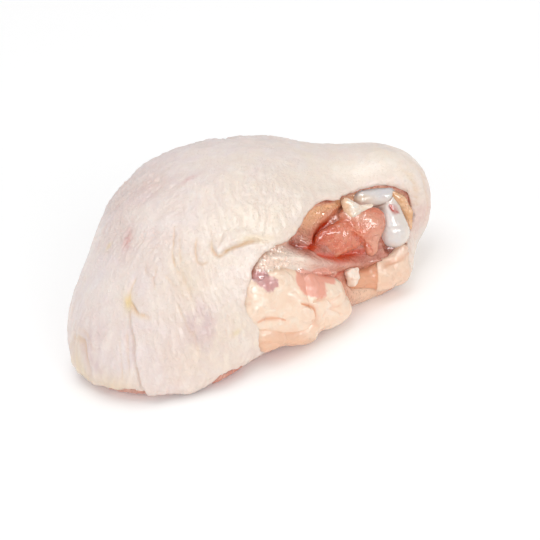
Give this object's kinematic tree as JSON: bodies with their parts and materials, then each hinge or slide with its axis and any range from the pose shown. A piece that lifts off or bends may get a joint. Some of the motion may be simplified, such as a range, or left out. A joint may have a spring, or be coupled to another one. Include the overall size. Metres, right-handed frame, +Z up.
{
  "type": "raw chicken thigh",
  "caption": "Raw skin-on chicken thigh lying skin side up, open at the knee end with meat, fat and the glassy end of the bone showing.",
  "frame": {"origin": "on the board, under the middle of the thigh's bounding box", "axes": "+X towards the knee end, +Y towards the back of the thigh, +Z up from the board"},
  "size_m": [0.1242, 0.0898, 0.0544],
  "materials": {
    "skin": "raw skin, moist",
    "meat": "raw meat, wet",
    "muscle": "raw muscle under a clear film, wet",
    "cartilage": "bluish white cartilage, wet",
    "fat": "raw fat, moist",
    "tendon": "tendon, moist"
  },
  "bodies": {
    "root": {"skin": "skin", "thigh_meat": "meat", "femur_end": "cartilage", "muscle_flap": "muscle", "front_fat": "fat", "knee_fat": "fat", "fat_tag": "fat", "tendon_tab": "tendon"}
  },
  "joints": []
}
